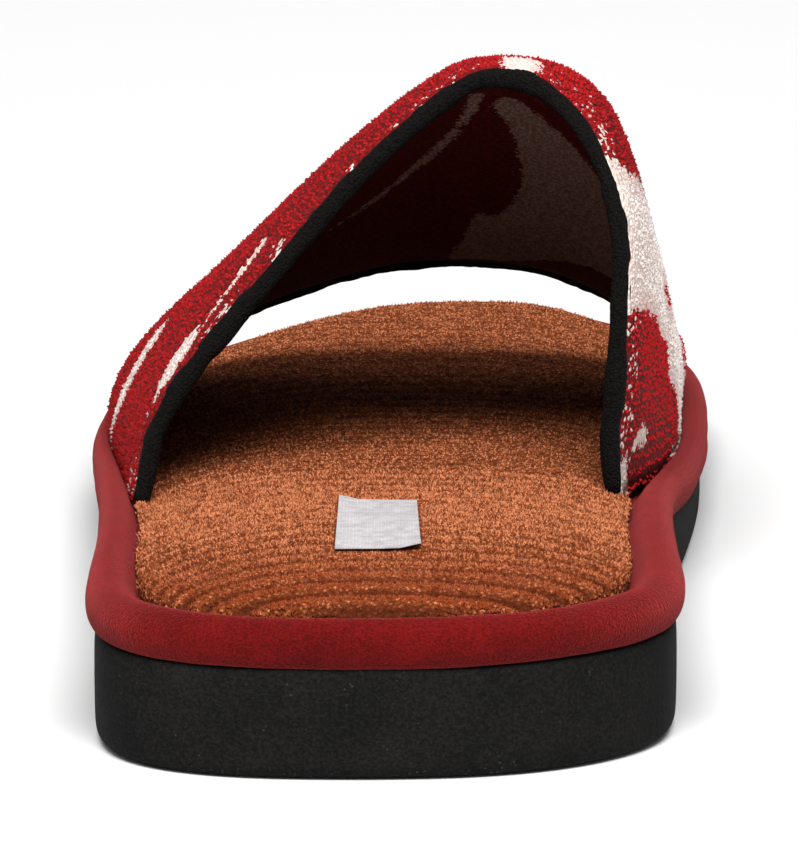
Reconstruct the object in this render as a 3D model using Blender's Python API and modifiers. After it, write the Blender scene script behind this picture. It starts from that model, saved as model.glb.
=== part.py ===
# Open-toe slipper for the left foot: a foam wedge outsole, a cloth-wrapped platform with a rolled edge, a
# padded sock, a hollow padded vamp open at collar, toe and underneath, its two edge bindings and a woven tag.
# Sizes are in millimetres and become metres when a mesh is made. In the tables y runs from the heel end to
# the toe end, x grows towards the medial side, and z is the height above the floor.
import math

import bmesh
import bpy
import numpy as np

OBJECT_NAME = "open_toe_slipper"
MM = 0.001
# Clearance between pieces that touch
GAP = 0.3


def table(columns, *rows):
    """A short table: one array for each named column."""
    return dict(zip(columns.split(), np.array(rows, float).T))


# Outline of the last: length, rounded ends as superellipses, and the sections along the foot
LENGTH = 262.0
HEEL_ROUND = 32.0
HEEL_POWER = 2.6
TOE_ROUND = 78.0
TOE_POWER = 2.25
END_STEPS = 8
SIDE_STEPS = 14
OUTLINE = table(
    "y centre half_width",
    (0, -4.0, 41.2),
    (30, 0.4, 42.2),
    (60, 0.4, 42.0),
    (92, 0.4, 43.2),
    (125, 1.8, 46.8),
    (165, 3.0, 49.9),
    (195, 5.0, 49.8),
    (262, 16.0, 46.0),
)
# Wedge of the sole: clearance under it and height of its top
WEDGE = table(
    "y ground top",
    (0, 0.0, 15.9),
    (50, 0.0, 15.8),
    (95, 0.0, 13.4),
    (140, 0.0, 9.2),
    (175, 0.0, 7.6),
    (215, 1.2, 7.9),
    (262, 4.4, 9.6),
)
# Outsole: set back under the rolled edge, with a rounded lower edge
OUTSOLE_INSET = 1.2
LOWER_ROUND = 2.5
LOWER_ROUND_STEPS = 4
UPPER_EASE = 0.5

# Width of the platform's rolled edge on each side of the foot
ROLLED_EDGE = table(
    "y lateral medial",
    (0, 5.2, 5.2),
    (4, 6.6, 6.6),
    (10, 8.0, 8.2),
    (24, 7.2, 7.8),
    (45, 6.0, 6.8),
    (88, 5.4, 6.2),
    (125, 4.6, 5.4),
    (155, 3.8, 5.0),
    (205, 3.8, 5.0),
    (262, 5.0, 5.0),
)
# Section of the rolled edge: share of its width from the outside, and height above the outsole
ROLL_SECTION = table(
    "share rise",
    (0.36, 0.3),
    (0.10, 1.2),
    (0.00, 2.8),
    (0.00, 4.3),
    (0.14, 5.9),
    (0.38, 6.8),
    (0.64, 6.6),
    (0.86, 5.6),
    (1.00, 3.4),
)
RECESS_RISE = 3.0
RECESS_STEP = 0.8

# Padded sock: its gap to the rolled edge, its edge section and its crown along the foot
SOCK_EDGE_GAP = 0.5
SOCK_SECTION = table(
    "inset rise",
    (0.9, 3.3),
    (0.0, 3.9),
    (0.0, 5.6),
    (0.8, 6.5),
)
SOCK_CROWN = table(
    "y crown fullness",
    (0, 2.0, 2.6),
    (120, 2.0, 2.6),
    (190, 2.6, 2.8),
    (235, 4.8, 5.0),
    (262, 4.8, 5.0),
)
SOCK_COLUMNS = 10

# Vamp: its wall, the sections of its outer face, its two edges, and how far the collar rim is drawn in
VAMP_WALL = 3.4
VAMP_FOOT_GAP = 0.2
VAMP_FOOT_RISE = 8.1
VAMP_ALONG = 24
VAMP_ACROSS = 36
RIM_CROWDING = 1.35
BULGE_LOW = 0.65
RIDGE_POWER = 2.2
RIDGE_EASE = 9
VAMP_SECTIONS = table(
    "y peak_x peak_z lateral_power medial_power lateral_bulge medial_bulge",
    (85, 18.0, 88.0, 1.36, 2.9, 0.0, 0.0),
    (105, 18.0, 85.4, 1.37, 2.8, 0.5, 0.5),
    (125, 16.5, 78.4, 1.40, 2.7, 1.5, 1.2),
    (150, 13.0, 63.5, 1.48, 2.5, 2.6, 2.0),
    (175, 10.5, 48.0, 1.60, 2.3, 3.2, 2.0),
    (205, 8.5, 35.0, 1.66, 2.1, 2.6, 2.0),
)
# Across the vamp: v is -1 at the lateral seam, 0 on the ridge, 1 at the medial seam
VAMP_EDGES = table(
    "v collar_y toe_y rim_drop",
    (-1.0, 88, 196, 0.2),
    (-0.5, 98, 197, 2.4),
    (0.0, 104, 193, 3.0),
    (0.5, 98, 196, 0.8),
    (1.0, 90, 201, 0.0),
)
RIM_LENGTH = 14.0
# Step in u and v for slopes on the vamp's face
NEARBY = 0.004

# Bindings: section across the rim, n from the vamp's outer face outwards, t out of the rim
BINDING_SECTION = table(
    "n t",
    (-0.4, 0.5),
    (-0.6, 1.4),
    (-1.4, 2.2),
    (-2.6, 2.3),
    (-VAMP_WALL - 0.7, 1.5),
    (-VAMP_WALL - 1.3, -0.3),
    (-VAMP_WALL - 1.5, -2.9),
    (-VAMP_WALL - 1.1, -3.4),
    (-VAMP_WALL - 0.7, -3.0),
    (-VAMP_WALL - 0.5, 0.5),
)
# Where the tapes are cut, just above the lateral and the medial seam
BINDING_START = -0.93
BINDING_END = 0.985

# Woven tag on the sock
TAG_WIDTH = 12.6
TAG_LENGTH = 36.0
TAG_THICKNESS = 0.6
TAG_CENTRE_X = -0.8
TAG_CENTRE_Y = 51.0
TAG_ACROSS = 4
TAG_ALONG = 8

# Colour and roughness of each material
BLACK_FOAM = ((0.014, 0.013, 0.014), 0.85)
BURGUNDY_CLOTH = ((0.22, 0.012, 0.018), 0.75)
TAN_TERRY = ((0.45, 0.15, 0.055), 0.90)
FLORAL_JACQUARD = ((0.40, 0.02, 0.025), 0.85)
BLACK_KNIT = ((0.010, 0.010, 0.011), 0.90)
WHITE_WOVEN = ((0.72, 0.70, 0.70), 0.80)


def smooth(stations, values, at):
    """Monotone cubic through a table's rows: flat where the rows are flat, with no overshoot."""
    at = np.clip(np.asarray(at, float), stations[0], stations[-1])
    step = np.diff(stations)
    secant = np.diff(values) / step
    product = secant[:-1] * secant[1:]
    total = secant[:-1] + secant[1:]
    inner = np.divide(2 * product, total, out=np.zeros_like(total), where=product > 0)
    slope = np.concatenate([secant[:1], inner, secant[-1:]])
    cell = np.clip(np.searchsorted(stations, at, side="right") - 1, 0, len(step) - 1)
    t = (at - stations[cell]) / step[cell]
    start = values[cell] * (1 + 2 * t) * (1 - t) ** 2 + slope[cell] * step[cell] * t * (1 - t) ** 2
    end = values[cell + 1] * t**2 * (3 - 2 * t) + slope[cell + 1] * step[cell] * t**2 * (t - 1)
    return start + end


def along(rows, column, y):
    """Value of a table's column at y along the foot."""
    return smooth(rows["y"], rows[column], y)


def across(column, v):
    """Value of the vamp's edge table at v across the foot."""
    return smooth(VAMP_EDGES["v"], VAMP_EDGES[column], v)


def end_share(y):
    """Share of the full width at y: 1 along the foot, falling to 0 at the rounded heel and toe ends."""
    heel = np.clip(1 - y / HEEL_ROUND, 0, 1)
    toe = np.clip((y - LENGTH + TOE_ROUND) / TOE_ROUND, 0, 1)
    return (1 - heel**HEEL_POWER) ** (1 / HEEL_POWER) * (1 - toe**TOE_POWER) ** (1 / TOE_POWER)


def sides(y):
    """x of the lateral and of the medial edge at y."""
    centre = along(OUTLINE, "centre", y)
    half_width = along(OUTLINE, "half_width", y) * end_share(y)
    return centre - half_width, centre + half_width


def section_places():
    """y of the sections, closer together round the heel and round the toe."""
    turn = np.linspace(0, math.pi / 2, END_STEPS + 1)
    heel = HEEL_ROUND * (1 - np.cos(turn) ** (2 / HEEL_POWER))
    toe = LENGTH - TOE_ROUND * (1 - np.cos(turn[::-1]) ** (2 / TOE_POWER))
    middle = np.linspace(HEEL_ROUND, LENGTH - TOE_ROUND, SIDE_STEPS + 1)
    return np.concatenate([heel[:-1], middle, toe[1:]])


def outline_ring():
    """Outline points and inward normals, from the heel centre along the medial side and back."""
    y = section_places()
    lateral, medial = sides(y)
    points = np.concatenate([np.column_stack([medial, y]), np.column_stack([lateral, y])[-2:0:-1]])
    tangent = np.roll(points, -1, axis=0) - np.roll(points, 1, axis=0)
    tangent /= np.linalg.norm(tangent, axis=1, keepdims=True)
    return points, np.column_stack([-tangent[:, 1], tangent[:, 0]])


RING, INWARD = outline_ring()
RING_COUNT = len(RING)
TOE_INDEX = RING_COUNT // 2
ORIGIN = np.array([(RING[:, 0].min() + RING[:, 0].max()) / 2, LENGTH / 2, 0.0])


def rolled_edge_width():
    """Width of the rolled edge at each point of the ring."""
    y = RING[:, 1]
    medial = RING[:, 0] > along(OUTLINE, "centre", y)
    return np.where(medial, along(ROLLED_EDGE, "medial", y), along(ROLLED_EDGE, "lateral", y))


def ring_at(inset, rise, base="top"):
    """The outline drawn in by inset, at a rise above the wedge's top or ground."""
    flat = RING + INWARD * np.broadcast_to(inset, RING_COUNT)[:, None]
    return np.column_stack([flat, along(WEDGE, base, flat[:, 1]) + rise])


def in_place(points):
    """Millimetres from the heel to metres from the origin under the middle of the part."""
    return (np.asarray(points) - ORIGIN) * MM


def finish(name, colour, roughness):
    """A plain material with the piece's colour and roughness."""
    material = bpy.data.materials.new(name)
    material.use_nodes = True
    shader = material.node_tree.nodes["Principled BSDF"]
    shader.inputs["Base Color"].default_value = (*colour, 1.0)
    shader.inputs["Roughness"].default_value = roughness
    shader.inputs["Metallic"].default_value = 0.0
    material.diffuse_color = (*colour, 1.0)
    return material


def piece(name, mesh_data, material):
    """A named object of the slipper with its own material."""
    mesh = bpy.data.meshes.new(name)
    mesh_data.to_mesh(mesh)
    mesh_data.free()
    mesh.shade_smooth()
    mesh.materials.append(material)
    thing = bpy.data.objects.new(name, mesh)
    slipper.objects.link(thing)
    return thing


def close_ring(cage, loop, columns=1, crown=None):
    """Close a ring with strips across the foot; with a crown, the strips rise towards the middle."""
    rows = [[loop[0]]]
    for k in range(1, TOE_INDEX):
        medial, lateral = loop[k], loop[RING_COUNT - k]
        row = [medial]
        for share in np.linspace(0, 1, columns + 1)[1:-1]:
            place = medial.co.lerp(lateral.co, share)
            place.z += crown(RING[k, 1], abs(2 * share - 1)) * MM
            row.append(cage.verts.new(place))
        rows.append(row + [lateral])
    rows.append([loop[TOE_INDEX]])
    for near, far in zip(rows, rows[1:]):
        if len(near) == 1:
            for a, b in zip(far, far[1:]):
                cage.faces.new((near[0], a, b))
        elif len(far) == 1:
            for a, b in zip(near, near[1:]):
                cage.faces.new((a, far[0], b))
        else:
            for k in range(columns):
                cage.faces.new((near[k], far[k], far[k + 1], near[k + 1]))


def sock_crown(y, off_middle):
    """Height of the sock's crown above its edge, lower where the foot narrows at its ends."""
    fullness = along(SOCK_CROWN, "fullness", y)
    return along(SOCK_CROWN, "crown", y) * end_share(y) * (1 - off_middle**fullness)


def loft(rings, columns=1, crown=None):
    """A closed solid through rings of the outline, from its underside to its top."""
    cage = bmesh.new()
    loops = [[cage.verts.new(place) for place in in_place(ring)] for ring in rings]
    for low, high in zip(loops, loops[1:]):
        for i in range(RING_COUNT):
            j = (i + 1) % RING_COUNT
            cage.faces.new((low[i], low[j], high[j], high[i]))
    close_ring(cage, loops[0])
    close_ring(cage, loops[-1], columns, crown)
    bmesh.ops.recalc_face_normals(cage, faces=cage.faces[:])
    return cage


def make_outsole():
    """Black foam wedge: flat underside with toe spring, rounded lower edge, upright sides."""
    rings = []
    for turn in np.linspace(0, math.pi / 2, LOWER_ROUND_STEPS + 1):
        inset = OUTSOLE_INSET + LOWER_ROUND * (1 - math.sin(turn))
        rings.append(ring_at(inset, LOWER_ROUND * (1 - math.cos(turn)), "ground"))
    rings.append(ring_at(OUTSOLE_INSET, -UPPER_EASE))
    rings.append(ring_at(OUTSOLE_INSET + UPPER_EASE, 0.0))
    return piece("outsole", loft(rings), finish("black_foam", *BLACK_FOAM))


def make_midsole():
    """Platform wrapped in burgundy cloth: a rolled edge round a shallow recess for the sock."""
    width = rolled_edge_width()
    rings = [ring_at(width * share, rise) for share, rise in zip(ROLL_SECTION["share"], ROLL_SECTION["rise"])]
    rings.append(ring_at(width + RECESS_STEP, RECESS_RISE))
    return piece("midsole", loft(rings), finish("burgundy_cloth", *BURGUNDY_CLOTH))


def make_insole():
    """Padded tan sock with a soft edge and a low crown."""
    edge = rolled_edge_width() + SOCK_EDGE_GAP
    rings = [ring_at(edge + inset, rise) for inset, rise in zip(SOCK_SECTION["inset"], SOCK_SECTION["rise"])]
    solid = loft(rings, SOCK_COLUMNS, sock_crown)
    return piece("insole", solid, finish("tan_terry", *TAN_TERRY))


def vamp_body(u, v):
    """Outer face of the vamp before its rim is drawn in; u is 0 at the collar and 1 at the toe edge."""
    collar, toe = across("collar_y", v), across("toe_y", v)
    y = collar + (toe - collar) * u
    section = {name: along(VAMP_SECTIONS, name, y) for name in VAMP_SECTIONS if name != "y"}
    lateral, medial = sides(y)
    lateral_foot = lateral + along(ROLLED_EDGE, "lateral", y) + VAMP_FOOT_GAP
    medial_foot = medial - along(ROLLED_EDGE, "medial", y) - VAMP_FOOT_GAP
    on_lateral = v < 0
    reach = np.where(on_lateral, section["peak_x"] - lateral_foot, medial_foot - section["peak_x"])
    power = np.where(on_lateral, section["lateral_power"], section["medial_power"])
    bulge = np.where(on_lateral, section["lateral_bulge"], section["medial_bulge"])
    climb = 1 - np.abs(v)
    power = power + (RIDGE_POWER - power) * climb**RIDGE_EASE
    turn = climb * math.pi / 2
    out = reach * np.cos(turn) ** (2 / power) + bulge * np.sin(math.pi * climb**BULGE_LOW)
    foot_z = along(WEDGE, "top", y) + VAMP_FOOT_RISE
    z = foot_z + (section["peak_z"] - foot_z) * np.sin(turn) ** (2 / power)
    return np.stack([section["peak_x"] + np.sign(v) * out, y, z], axis=-1)


def face_frame(surface, u, v):
    """Unit vectors on a surface at u, v: along the foot, over the foot and outwards."""
    forward = surface(np.minimum(u + NEARBY, 1), v) - surface(np.maximum(u - NEARBY, 0), v)
    over = surface(u, np.minimum(v + NEARBY, 1)) - surface(u, np.maximum(v - NEARBY, -1))
    outward = np.cross(over, forward)
    over = over / np.linalg.norm(over, axis=-1, keepdims=True)
    outward = outward / np.linalg.norm(outward, axis=-1, keepdims=True)
    return np.cross(outward, over), over, outward


def vamp_face(u, v):
    """Outer face of the vamp with its collar rim drawn in by the binding."""
    body = vamp_body(u, v)
    run = np.linalg.norm(body - vamp_body(np.zeros_like(u), v), axis=-1)
    near_rim = np.clip(1 - run / RIM_LENGTH, 0, 1) ** 2
    outward = face_frame(vamp_body, u, v)[2]
    return body - outward * (across("rim_drop", v) * near_rim)[..., None]


def make_upper():
    """Hollow padded vamp: one wall from seam to seam, open at the collar, at the toe and underneath."""
    cage = bmesh.new()
    bmesh.ops.create_grid(cage, x_segments=VAMP_ACROSS, y_segments=VAMP_ALONG, size=1.0)
    grid = np.array([vert.co[:2] for vert in cage.verts])
    places = in_place(vamp_face(((grid[:, 1] + 1) / 2) ** RIM_CROWDING, grid[:, 0]))
    for vert, place in zip(cage.verts, places):
        vert.co = place
    vamp = piece("upper", cage, finish("floral_jacquard", *FLORAL_JACQUARD))
    wall = vamp.modifiers.new("wall", "SOLIDIFY")
    wall.thickness = VAMP_WALL * MM
    wall.offset = -1.0
    return vamp


def make_binding(name, u_edge, out_sign):
    """Knit tape folded over one edge of the vamp, from seam to seam."""
    v = np.unique(np.clip(np.linspace(-1, 1, VAMP_ACROSS + 1), BINDING_START, BINDING_END))
    u = np.full_like(v, u_edge)
    rim = vamp_face(u, v)
    forward, over, outward = face_frame(vamp_face, u, v)
    cage = bmesh.new()
    loops = []
    for k in range(len(v)):
        section = [rim[k] + n * outward[k] + t * out_sign * forward[k]
                   for n, t in zip(BINDING_SECTION["n"], BINDING_SECTION["t"])]
        loops.append([cage.verts.new(place) for place in in_place(section)])
    for near, far in zip(loops, loops[1:]):
        for i in range(len(near)):
            j = (i + 1) % len(near)
            cage.faces.new((near[i], near[j], far[j], far[i]))
    cage.faces.new(loops[0])
    cage.faces.new(loops[-1])
    bmesh.ops.recalc_face_normals(cage, faces=cage.faces[:])
    return piece(name, cage, finish(name + "_knit", *BLACK_KNIT))


def sock_top(x, y):
    """Height of the sock's crowned top."""
    lateral, medial = sides(y)
    edge = SOCK_EDGE_GAP + SOCK_SECTION["inset"][-1]
    lateral = lateral + along(ROLLED_EDGE, "lateral", y) + edge
    medial = medial - along(ROLLED_EDGE, "medial", y) - edge
    off_middle = abs(2 * x - lateral - medial) / (medial - lateral)
    return along(WEDGE, "top", y) + SOCK_SECTION["rise"][-1] + sock_crown(y, off_middle)


def make_label():
    """Plain woven tag sewn flat on the sock."""
    cage = bmesh.new()
    bmesh.ops.create_grid(cage, x_segments=TAG_ACROSS, y_segments=TAG_ALONG, size=0.5)
    for vert in cage.verts:
        x = TAG_CENTRE_X + vert.co.x * TAG_WIDTH
        y = TAG_CENTRE_Y + vert.co.y * TAG_LENGTH
        vert.co = in_place((x, y, sock_top(x, y) + GAP + TAG_THICKNESS))
    tag = piece("label", cage, finish("white_woven", *WHITE_WOVEN))
    wall = tag.modifiers.new("thickness", "SOLIDIFY")
    wall.thickness = TAG_THICKNESS * MM
    wall.offset = -1.0
    return tag


for old in list(bpy.data.objects):
    bpy.data.objects.remove(old, do_unlink=True)
slipper = bpy.data.collections.new(OBJECT_NAME)
bpy.context.scene.collection.children.link(slipper)

make_outsole()
make_midsole()
make_insole()
make_upper()
make_binding("collar_binding", 0.0, -1.0)
make_binding("toe_binding", 1.0, 1.0)
make_label()
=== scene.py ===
# Looks of the open-toe slipper: a left house slipper with a black foam sole, a burgundy velvet edge, a tan
# terry sock and a hollow padded vamp of red and cream floral jacquard, its edges bound in black knit tape.
import math

import bmesh
import bpy
import numpy as np
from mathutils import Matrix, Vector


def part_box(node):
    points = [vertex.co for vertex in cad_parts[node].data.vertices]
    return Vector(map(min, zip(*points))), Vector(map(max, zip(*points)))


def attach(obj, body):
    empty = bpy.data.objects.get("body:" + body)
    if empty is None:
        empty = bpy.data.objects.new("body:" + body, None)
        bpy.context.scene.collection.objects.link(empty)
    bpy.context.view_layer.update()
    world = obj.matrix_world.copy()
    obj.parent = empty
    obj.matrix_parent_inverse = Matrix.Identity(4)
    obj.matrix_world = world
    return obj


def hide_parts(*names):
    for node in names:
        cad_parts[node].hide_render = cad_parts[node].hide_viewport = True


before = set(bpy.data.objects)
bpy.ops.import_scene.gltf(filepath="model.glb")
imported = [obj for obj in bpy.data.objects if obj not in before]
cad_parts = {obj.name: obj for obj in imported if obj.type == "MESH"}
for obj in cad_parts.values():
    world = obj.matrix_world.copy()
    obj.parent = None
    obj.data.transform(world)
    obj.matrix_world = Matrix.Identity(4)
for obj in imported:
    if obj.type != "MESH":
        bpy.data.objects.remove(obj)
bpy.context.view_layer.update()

# Stage: the slipper stands on a plain white floor that runs out of view, lit by a soft box above the camera
# and a second one that whitens the floor behind it. The camera looks at the heel from a little above.
FLOOR_SIZE = 8.0
FLOOR_WHITE = (0.62, 0.62, 0.62, 1.0)
FLOOR_ROUGHNESS = 0.9
FLOOR_SHINE = 0.1
SKY_WHITE = (1.0, 1.0, 1.0, 1.0)
SKY_STRENGTH = 0.46
CAMERA_PLACE = (-0.00442, -0.888, 0.214)
CAMERA_TURN = (math.radians(77.75), 0.0, math.radians(-0.2))
CAMERA_SENSOR = 36.0
PHOTO_HEIGHT = 854
FOCAL_PIXELS = 5800
# Soft boxes: name, place, tilt in degrees, width, length and power in watts
SOFTBOXES = (
    ("box_above_camera", (0.0, -0.7, 0.9), 38, 0.7, 0.35, 24.0),
    ("box_on_backdrop", (0.0, 0.35, 1.0), 72, 1.5, 0.5, 16.0),
)

bpy.ops.object.select_all(action="DESELECT")
bpy.ops.mesh.primitive_plane_add(size=FLOOR_SIZE, location=(0, 0, 0))
floor = bpy.context.object
floor.name = "floor"
floor_finish = bpy.data.materials.new("white_floor")
floor_finish.use_nodes = True
floor_shader = floor_finish.node_tree.nodes["Principled BSDF"]
floor_shader.inputs["Base Color"].default_value = FLOOR_WHITE
floor_shader.inputs["Roughness"].default_value = FLOOR_ROUGHNESS
floor_shader.inputs["Specular IOR Level"].default_value = FLOOR_SHINE
floor.data.materials.append(floor_finish)

sky = bpy.data.worlds.new("studio")
sky.use_nodes = True
sky.node_tree.nodes["Background"].inputs["Color"].default_value = SKY_WHITE
sky.node_tree.nodes["Background"].inputs["Strength"].default_value = SKY_STRENGTH
bpy.context.scene.world = sky
bpy.context.scene.view_settings.view_transform = "Standard"

for lamp_name, lamp_place, lamp_tilt, lamp_width, lamp_length, lamp_power in SOFTBOXES:
    bpy.ops.object.light_add(type="AREA", location=lamp_place, rotation=(math.radians(lamp_tilt), 0, 0))
    lamp = bpy.context.object
    lamp.name = lamp_name
    lamp.data.shape = "RECTANGLE"
    lamp.data.size = lamp_width
    lamp.data.size_y = lamp_length
    lamp.data.energy = lamp_power

bpy.ops.object.camera_add(location=CAMERA_PLACE, rotation=CAMERA_TURN)
camera = bpy.context.object
camera.data.sensor_width = CAMERA_SENSOR
camera.data.lens = FOCAL_PIXELS * CAMERA_SENSOR / PHOTO_HEIGHT
bpy.context.scene.camera = camera

# Outsole: a wedge of black closed-cell foam, knife-cut to the outline, its lower edge rounded, glued under
# the platform. Its sides show the cut foam's fine grain and a few pale dust specks.
OUTSOLE_SMOOTHING = 2
OUTSOLE_EDGE_LOOP = 0.0015
# A face is a flat end when it looks this straight up or down and has more than this area
FLAT_NORMAL = 0.9
FLAT_FACE = 0.00005
FOAM_BLACK = (0.0040, 0.0038, 0.0037, 1.0)
FOAM_GREY = (0.0125, 0.0118, 0.0110, 1.0)
FOAM_DUST = (0.075, 0.072, 0.068, 1.0)
FOAM_GRAIN = 0.0005
FOAM_GRAIN_DEPTH = 0.0004
FOAM_CLOUD = 0.012
FOAM_DUST_SPACING = 0.0009
FOAM_DUST_PATCH = 0.0030
FOAM_WORN_HEIGHT = 0.0022
MERGE = 0.00002


def copy_of(solid, name):
    """A new piece from a copy of a solid's mesh, its loose triangles merged and joined into quads."""
    bpy.ops.object.select_all(action="DESELECT")
    piece = bpy.data.objects.new(name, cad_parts[solid].data.copy())
    piece.data.materials.clear()
    bpy.context.scene.collection.objects.link(piece)
    piece.select_set(True)
    bpy.context.view_layer.objects.active = piece
    bpy.ops.object.mode_set(mode="EDIT")
    bpy.ops.mesh.customdata_custom_splitnormals_clear()
    bpy.ops.mesh.select_all(action="SELECT")
    bpy.ops.mesh.remove_doubles(threshold=MERGE)
    bpy.ops.mesh.tris_convert_to_quads(face_threshold=math.pi, shape_threshold=math.pi)
    bpy.ops.object.mode_set(mode="OBJECT")
    return piece


def subdivide(piece, levels):
    """Smooth a piece's cage and apply it."""
    smoothing = piece.modifiers.new("smoothing", "SUBSURF")
    smoothing.levels = levels
    smoothing.render_levels = levels
    smoothing.boundary_smooth = "PRESERVE_CORNERS"
    bpy.context.view_layer.objects.active = piece
    bpy.ops.object.modifier_apply(modifier=smoothing.name)


def smooth_shaded(piece):
    """Shade a finished piece smooth."""
    bpy.ops.object.select_all(action="DESELECT")
    piece.select_set(True)
    bpy.context.view_layer.objects.active = piece
    bpy.ops.object.shade_smooth()


def finish_on(piece, name):
    """A new material on a piece: its node tree, its shader and its object coordinates."""
    material = bpy.data.materials.new(name)
    material.use_nodes = True
    piece.data.materials.clear()
    piece.data.materials.append(material)
    tree = material.node_tree
    coordinates = tree.nodes.new("ShaderNodeTexCoord")
    return tree, tree.nodes["Principled BSDF"], coordinates.outputs["Object"]


def node(tree, kind, sockets, **settings):
    """A shader node; each socket takes a value or is linked from another node's socket."""
    made = tree.nodes.new(kind)
    for key, value in settings.items():
        setattr(made, key, value)
    for key, value in sockets.items():
        if isinstance(value, bpy.types.NodeSocket):
            tree.links.new(value, made.inputs[key])
        else:
            made.inputs[key].default_value = value
    return made


def noise(tree, place, size, detail=2.0, roughness=0.5):
    """Soft noise of about 0 to 1 with grains of the given size in metres."""
    sockets = {"Vector": place, "Scale": 1 / size, "Detail": detail, "Roughness": roughness}
    return node(tree, "ShaderNodeTexNoise", sockets).outputs["Fac"]


def knobs(tree, place, size):
    """Distance to the nearest of scattered points, for knobs, loops and specks of the given size."""
    return node(tree, "ShaderNodeTexVoronoi", {"Vector": place, "Scale": 1 / size}).outputs["Distance"]


def calc(tree, operation, first, second=0.0):
    """Arithmetic on two values."""
    return node(tree, "ShaderNodeMath", {0: first, 1: second}, operation=operation).outputs[0]


def weighed(tree, first, first_share, second, second_share):
    """Two values, each taken by its share, added up."""
    first_part = calc(tree, "MULTIPLY", first, first_share)
    second_part = calc(tree, "MULTIPLY", second, second_share)
    return calc(tree, "ADD", first_part, second_part)


def spread(tree, value, low, high, new_low=0.0, new_high=1.0):
    """A value between low and high mapped smoothly to a new range, and held at its ends."""
    sockets = {"Value": value, "From Min": low, "From Max": high, "To Min": new_low, "To Max": new_high}
    return node(tree, "ShaderNodeMapRange", sockets, interpolation_type="SMOOTHSTEP").outputs["Result"]


def mix(tree, share, first, second):
    """One colour faded into another."""
    return node(tree, "ShaderNodeMix", {0: share, 6: first, 7: second}, data_type="RGBA").outputs[2]


def dress(tree, shader, colour, height, depth, roughness, shine):
    """Put a colour, bumps of a depth in metres, and a dull or shiny face on a finish."""
    bumps = node(tree, "ShaderNodeBump", {"Height": height, "Distance": depth, "Strength": 1.0})
    tree.links.new(colour, shader.inputs["Base Color"])
    tree.links.new(bumps.outputs["Normal"], shader.inputs["Normal"])
    shader.inputs["Roughness"].default_value = roughness
    shader.inputs["Specular IOR Level"].default_value = shine


def inset_flats(piece, width):
    """Draw a loop inside each flat end of a piece, so that smoothing keeps its edge."""
    bpy.ops.object.mode_set(mode="EDIT")
    bpy.ops.mesh.select_mode(type="FACE")
    bpy.ops.mesh.select_all(action="DESELECT")
    bpy.ops.object.mode_set(mode="OBJECT")
    for face in piece.data.polygons:
        face.select = abs(face.normal.z) > FLAT_NORMAL and face.area > FLAT_FACE
    bpy.ops.object.mode_set(mode="EDIT")
    bpy.ops.mesh.inset(thickness=width, use_even_offset=True)
    bpy.ops.object.mode_set(mode="OBJECT")


outsole = copy_of("outsole", "outsole_foam")
inset_flats(outsole, OUTSOLE_EDGE_LOOP)
subdivide(outsole, OUTSOLE_SMOOTHING)
smooth_shaded(outsole)
tree, shader, place = finish_on(outsole, "black_foam")
height = node(tree, "ShaderNodeSeparateXYZ", {0: place}).outputs["Z"]
grain = noise(tree, place, FOAM_GRAIN, detail=4.0, roughness=0.65)
cloud = noise(tree, place, FOAM_CLOUD, detail=2.0)
foam_tone = weighed(tree, grain, 0.75, cloud, 0.25)
foam = mix(tree, spread(tree, foam_tone, 0.38, 0.70), FOAM_BLACK, FOAM_GREY)
speck = spread(tree, knobs(tree, place, FOAM_DUST_SPACING), 0.10, 0.22, 1.0, 0.0)
worn_rim = spread(tree, height, 0.0, FOAM_WORN_HEIGHT, 0.75, 0.0)
dust_patch = spread(tree, noise(tree, place, FOAM_DUST_PATCH, detail=3.0), 0.50, 0.75, 0.0, 0.5)
dust = calc(tree, "MULTIPLY", speck, calc(tree, "ADD", worn_rim, dust_patch))
dusty_foam = mix(tree, dust, foam, FOAM_DUST)
dress(tree, shader, dusty_foam, grain, FOAM_GRAIN_DEPTH, roughness=0.8, shine=0.06)
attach(outsole, "root")
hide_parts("outsole")

# Platform: a soft board wrapped in burgundy velvet, its edge rolled over a cord of foam so that it shows as
# a round band between sole and sock. The nap is brushed, paler where it is seen along the fibres.
PLATFORM_SMOOTHING = 3
VELVET_DEEP = (0.062, 0.0015, 0.0015, 1.0)
VELVET_RED = (0.142, 0.0034, 0.0034, 1.0)
VELVET_SHEEN = (1.0, 0.16, 0.16, 1.0)
VELVET_NAP = 0.00036
VELVET_NAP_DEPTH = 0.0005
VELVET_BRUSHED = 0.007
VELVET_WAVE = 0.016
VELVET_WAVE_DEPTH = 0.0004
# The roll flattens towards the toe, where the sock covers it
ROLL_DROP = 0.0016
ROLL_DROP_FROM = 0.045
ROLL_DROP_TO = 0.090
# Its lower half sags on to the sole
ROLL_SAG = 0.0008


def points_of(piece):
    """Places and normals of a piece's points."""
    places = np.empty(len(piece.data.vertices) * 3)
    normals = np.empty(len(piece.data.vertices) * 3)
    piece.data.vertices.foreach_get("co", places)
    piece.data.vertices.foreach_get("normal", normals)
    return places.reshape(-1, 3), normals.reshape(-1, 3)


def move_points(piece, places):
    """Put a piece's points at new places."""
    piece.data.vertices.foreach_set("co", places.ravel())
    piece.data.update()


def eased(value, start, end):
    """0 before start, 1 after end, and smooth between them."""
    share = np.clip((value - start) / (end - start), 0, 1)
    return share * share * (3 - 2 * share)


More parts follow.
